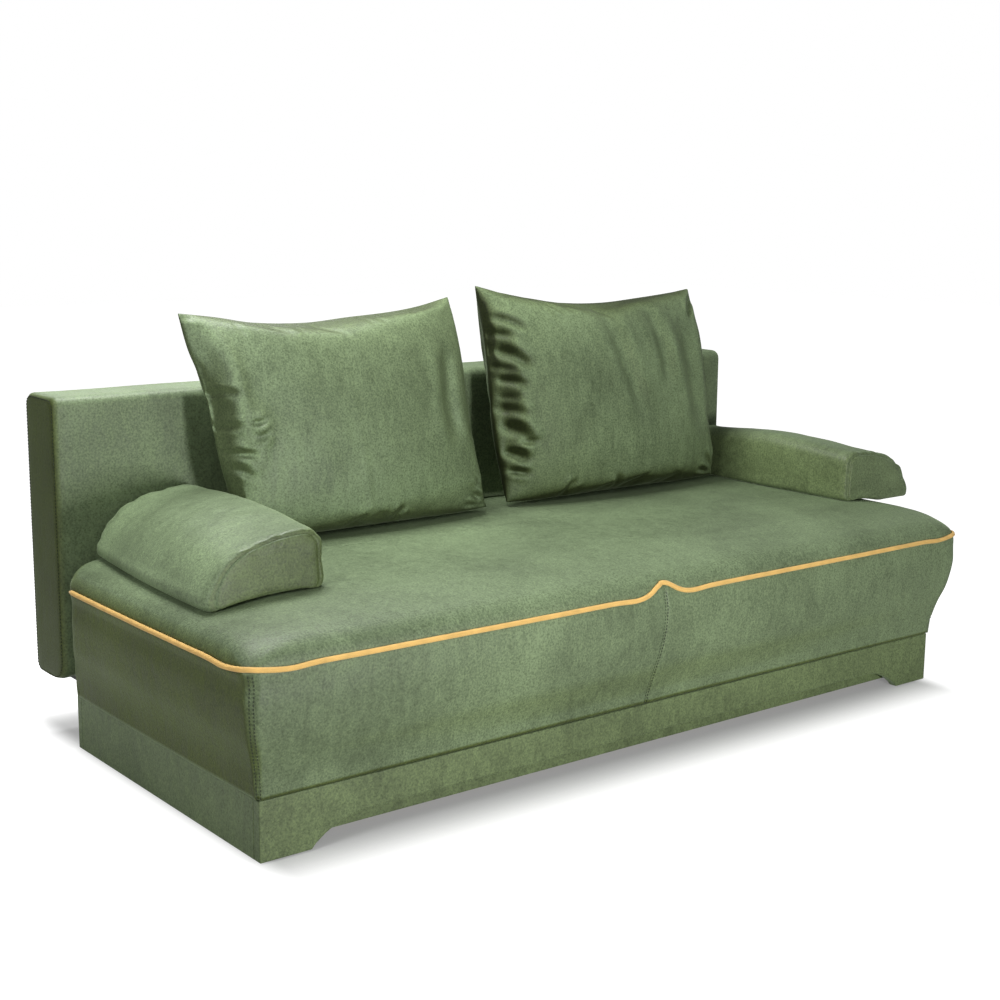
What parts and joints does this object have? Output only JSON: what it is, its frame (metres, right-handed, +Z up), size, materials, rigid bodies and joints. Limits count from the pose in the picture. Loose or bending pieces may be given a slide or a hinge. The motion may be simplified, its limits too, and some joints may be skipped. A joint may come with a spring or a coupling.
{
  "type": "sofa bed",
  "caption": "Velvet sofa bed with contrast piping, loose back pillows and armrest bolsters, arched storage plinth, and a seat that swings forward as the back folds flat.",
  "frame": {"origin": "on the floor under the middle of the whole object's bounding box, cushions included", "axes": "+X across the sofa towards the right end as seen from the front, +Y from the front to the rear, +Z up"},
  "size_m": [2.1402, 0.9856, 0.9823],
  "materials": {
    "seat_velvet": "short-pile velvet",
    "back_velvet": "short-pile velvet",
    "cushion_velvet": "short-pile velvet",
    "plinth_velvet": "short-pile velvet on board",
    "piping": "woven cord",
    "foam": "open-cell foam",
    "frame_wood": "planed",
    "slat_wood": "planed",
    "board": "hardboard",
    "black_steel": "satin black",
    "zinc_steel": "zinc plated",
    "screw_zinc": "yellow zinc plated",
    "glide_plastic": "moulded"
  },
  "bodies": {
    "base": {"plinth_front": "plinth_velvet", "plinth_rear": "plinth_velvet", "plinth_left": "plinth_velvet", "plinth_right": "plinth_velvet", "corner_blocks": "frame_wood", "glides": "glide_plastic", "storage_front": "plinth_velvet", "storage_floor": "board", "storage_battens": "frame_wood", "base_plate_left": "black_steel", "base_plate_right": "black_steel", "base_studs_left": "zinc_steel", "base_studs_right": "zinc_steel", "base_screws": "screw_zinc"},
    "front_arm_left": {"front_arm_left": "black_steel"},
    "front_arm_right": {"front_arm_right": "black_steel"},
    "rear_arm_left": {"rear_arm_left": "black_steel"},
    "rear_arm_right": {"rear_arm_right": "black_steel"},
    "seat": {"seat_rail_front": "frame_wood", "seat_rail_rear": "frame_wood", "seat_rail_left": "frame_wood", "seat_rail_right": "frame_wood", "seat_cross_rails": "frame_wood", "seat_slats": "slat_wood", "seat_foam": "foam", "seat_cushion": "seat_velvet", "seat_piping": "piping", "seat_bracket_left": "black_steel", "seat_bracket_right": "black_steel", "seat_studs_left": "zinc_steel", "seat_studs_right": "zinc_steel", "seat_screws": "screw_zinc"},
    "back": {"back_rail_top": "frame_wood", "back_rail_bottom": "frame_wood", "back_rail_left": "frame_wood", "back_rail_right": "frame_wood", "back_uprights": "frame_wood", "back_slats": "slat_wood", "back_rear_panel": "board", "back_cushion": "back_velvet", "hinge_plate_left": "zinc_steel", "hinge_plate_right": "zinc_steel"},
    "pillow_left": {"pillow_left": "cushion_velvet"},
    "pillow_right": {"pillow_right": "cushion_velvet"},
    "bolster_left": {"bolster_left": "cushion_velvet"},
    "bolster_right": {"bolster_right": "cushion_velvet"}
  },
  "joints": [
    {"name": "front_left_swing", "type": "hinge", "parent": "base", "child": "front_arm_left", "pos_m": [-0.99118, -0.20322, 0.056], "axis": [1, 0, 0], "range_deg": [0, 100]},
    {"name": "front_right_swing", "type": "hinge", "parent": "base", "child": "front_arm_right", "pos_m": [0.86282, -0.20322, 0.056], "axis": [1, 0, 0], "range_deg": [0, 100]},
    {"name": "rear_left_swing", "type": "hinge", "parent": "base", "child": "rear_arm_left", "pos_m": [-0.99118, 0.07678, 0.056], "axis": [1, 0, 0], "range_deg": [0, 100]},
    {"name": "rear_right_swing", "type": "hinge", "parent": "base", "child": "rear_arm_right", "pos_m": [0.86282, 0.07678, 0.056], "axis": [1, 0, 0], "range_deg": [0, 100]},
    {"name": "seat_level", "type": "hinge", "parent": "front_arm_left", "child": "seat", "pos_m": [-0.99118, -0.05922, 0.17683], "axis": [1, 0, 0], "range_deg": [-100, 0]},
    {"name": "back_fold", "type": "hinge", "parent": "seat", "child": "back", "pos_m": [-0.06418, 0.48178, 0.294], "axis": [-1, 0, 0], "range_deg": [0, 90]},
    {"name": "pillow_left_lift", "type": "slide", "parent": "seat", "child": "pillow_left", "axis": [0, 0, 1], "range_m": [0, 0.3]},
    {"name": "pillow_right_lift", "type": "slide", "parent": "seat", "child": "pillow_right", "axis": [0, 0, 1], "range_m": [0, 0.3]},
    {"name": "bolster_left_lift", "type": "slide", "parent": "seat", "child": "bolster_left", "axis": [-0.342, 0, 0.9397], "range_m": [0, 0.3]},
    {"name": "bolster_right_lift", "type": "slide", "parent": "seat", "child": "bolster_right", "axis": [0.342, 0, 0.9397], "range_m": [0, 0.3]}
  ],
  "couplings": [
    {"joint": "front_right_swing", "follows": "front_left_swing", "ratio": 1},
    {"joint": "rear_left_swing", "follows": "front_left_swing", "ratio": 1},
    {"joint": "rear_right_swing", "follows": "front_left_swing", "ratio": 1},
    {"joint": "seat_level", "follows": "front_left_swing", "ratio": -1},
    {"joint": "back_fold", "follows": "front_left_swing", "ratio": 0.9}
  ]
}
